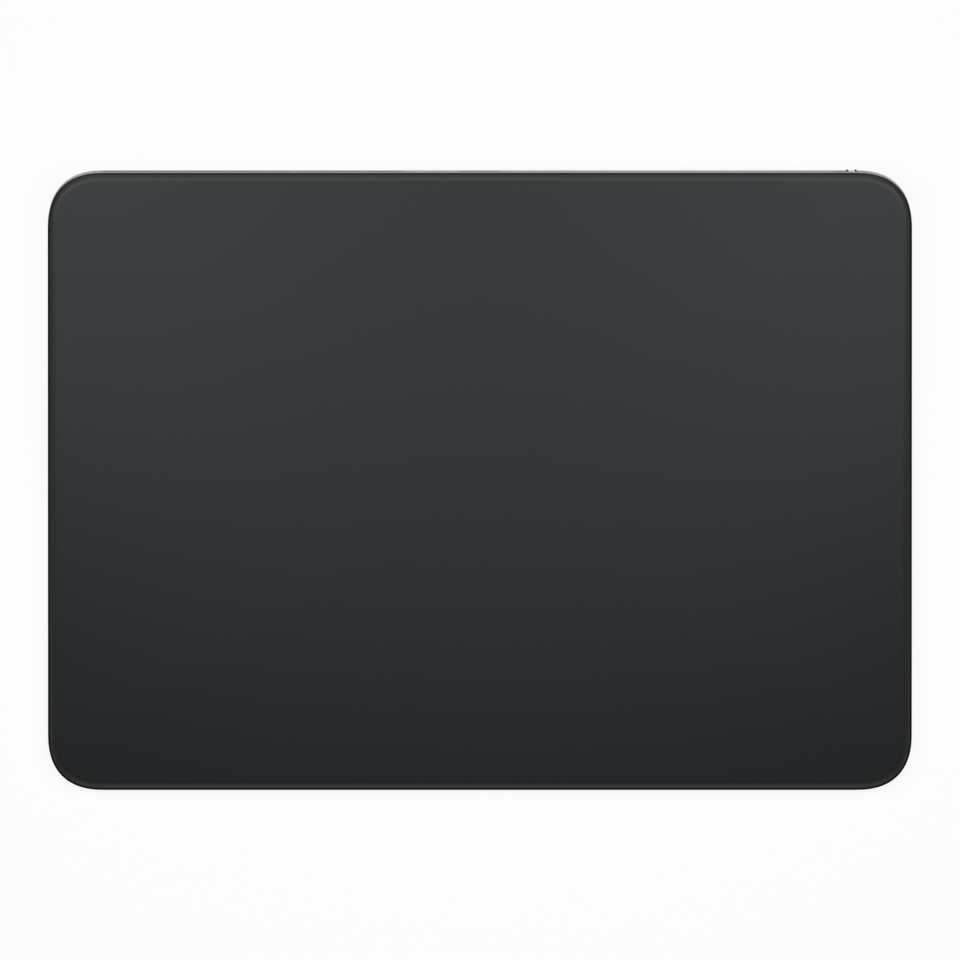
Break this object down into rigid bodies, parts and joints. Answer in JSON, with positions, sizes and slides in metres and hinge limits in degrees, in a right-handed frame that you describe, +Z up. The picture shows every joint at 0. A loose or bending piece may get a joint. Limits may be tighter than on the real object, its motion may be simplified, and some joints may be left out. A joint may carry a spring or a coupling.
{
  "type": "trackpad",
  "caption": "Wedge-shaped desk trackpad: black matte glass on a silver aluminium housing, with press-sensing feet, a click actuator, a charging socket and a slide power switch.",
  "frame": {"origin": "on the desk under the middle of the footprint, level with the bottoms of the feet", "axes": "+X to the user's right, +Y to the rear away from the user, +Z up"},
  "size_m": [0.16, 0.115, 0.0108],
  "materials": {
    "black_glass": "matte",
    "clear_bond": "satin",
    "sensor_laminate": "satin",
    "white_tape": "matte",
    "amber_film": "satin",
    "silver_aluminium": "satin",
    "grey_window": "matte",
    "green_board": "satin",
    "chip_black": "matte",
    "passive_tan": "satin",
    "tinned_steel": "satin",
    "cream_plastic": "matte",
    "screw_steel": "satin",
    "cell_pouch": "satin",
    "red_wire": "satin",
    "socket_steel": "satin",
    "contact_gold": "polished",
    "knob_silver": "satin",
    "spring_steel": "satin",
    "core_iron": "matte",
    "coil_copper": "satin",
    "mass_metal": "satin",
    "magnet_nickel": "polished",
    "cover_aluminium": "matte",
    "gasket_grey": "matte",
    "foot_rubber": "matte"
  },
  "bodies": {
    "housing": {"touch_glass": "black_glass", "glass_bond": "clear_bond", "touch_sensor_board": "sensor_laminate", "sensor_tape": "white_tape", "sensor_flex": "amber_film", "housing": "silver_aluminium", "antenna_window": "grey_window", "antenna": "amber_film", "logic_board": "green_board", "logic_chips": "chip_black", "logic_passives": "passive_tan", "shield_can": "tinned_steel", "board_connectors": "cream_plastic", "board_screws": "screw_steel", "battery_cell": "cell_pouch", "battery_board": "green_board", "battery_tape": "white_tape", "battery_lead": "red_wire", "charge_socket_shell": "socket_steel", "charge_socket_insulator": "chip_black", "charge_socket_contacts": "contact_gold", "socket_bracket": "tinned_steel", "bracket_screws": "screw_steel", "switch_body": "chip_black", "switch_flex": "amber_film", "haptic_frame": "spring_steel", "haptic_cores": "core_iron", "haptic_coils": "coil_copper", "haptic_springs": "spring_steel", "haptic_flex": "amber_film", "haptic_screws": "screw_steel", "strain_gauges": "amber_film", "flexure_screws": "screw_steel", "force_flex": "amber_film", "bottom_cover": "cover_aluminium", "cover_gasket": "gasket_grey", "flexure_front_left": "spring_steel", "flexure_front_right": "spring_steel", "flexure_rear_left": "spring_steel", "flexure_rear_right": "spring_steel"},
    "power_switch": {"switch_knob": "knob_silver"},
    "click_mass": {"haptic_mass": "mass_metal", "haptic_magnets": "magnet_nickel"},
    "foot_front_left": {"foot_plunger_front_left": "cream_plastic", "foot_pad_front_left": "foot_rubber"},
    "foot_front_right": {"foot_plunger_front_right": "cream_plastic", "foot_pad_front_right": "foot_rubber"},
    "foot_rear_left": {"foot_plunger_rear_left": "cream_plastic", "foot_pad_rear_left": "foot_rubber"},
    "foot_rear_right": {"foot_plunger_rear_right": "cream_plastic", "foot_pad_rear_right": "foot_rubber"}
  },
  "joints": [
    {"name": "switch_slide", "type": "slide", "parent": "housing", "child": "power_switch", "axis": [1, 0, 0], "range_m": [-0.0022, 0]},
    {"name": "click_slide", "type": "slide", "parent": "housing", "child": "click_mass", "axis": [1, 0, 0], "range_m": [-0.0003, 0.0003], "stiffness_N_per_m": 1500, "deforming": ["haptic_springs"]},
    {"name": "foot_press_front_left", "type": "slide", "parent": "housing", "child": "foot_front_left", "axis": [0, 0, 1], "range_m": [0, 0.0002], "stiffness_N_per_m": 6000, "springref_m": -0.00015, "deforming": ["flexure_front_left"]},
    {"name": "foot_press_front_right", "type": "slide", "parent": "housing", "child": "foot_front_right", "axis": [0, 0, 1], "range_m": [0, 0.0002], "stiffness_N_per_m": 6000, "springref_m": -0.00015, "deforming": ["flexure_front_right"]},
    {"name": "foot_press_rear_left", "type": "slide", "parent": "housing", "child": "foot_rear_left", "axis": [0, 0, 1], "range_m": [0, 0.0002], "stiffness_N_per_m": 6000, "springref_m": -0.00015, "deforming": ["flexure_rear_left"]},
    {"name": "foot_press_rear_right", "type": "slide", "parent": "housing", "child": "foot_rear_right", "axis": [0, 0, 1], "range_m": [0, 0.0002], "stiffness_N_per_m": 6000, "springref_m": -0.00015, "deforming": ["flexure_rear_right"]}
  ]
}
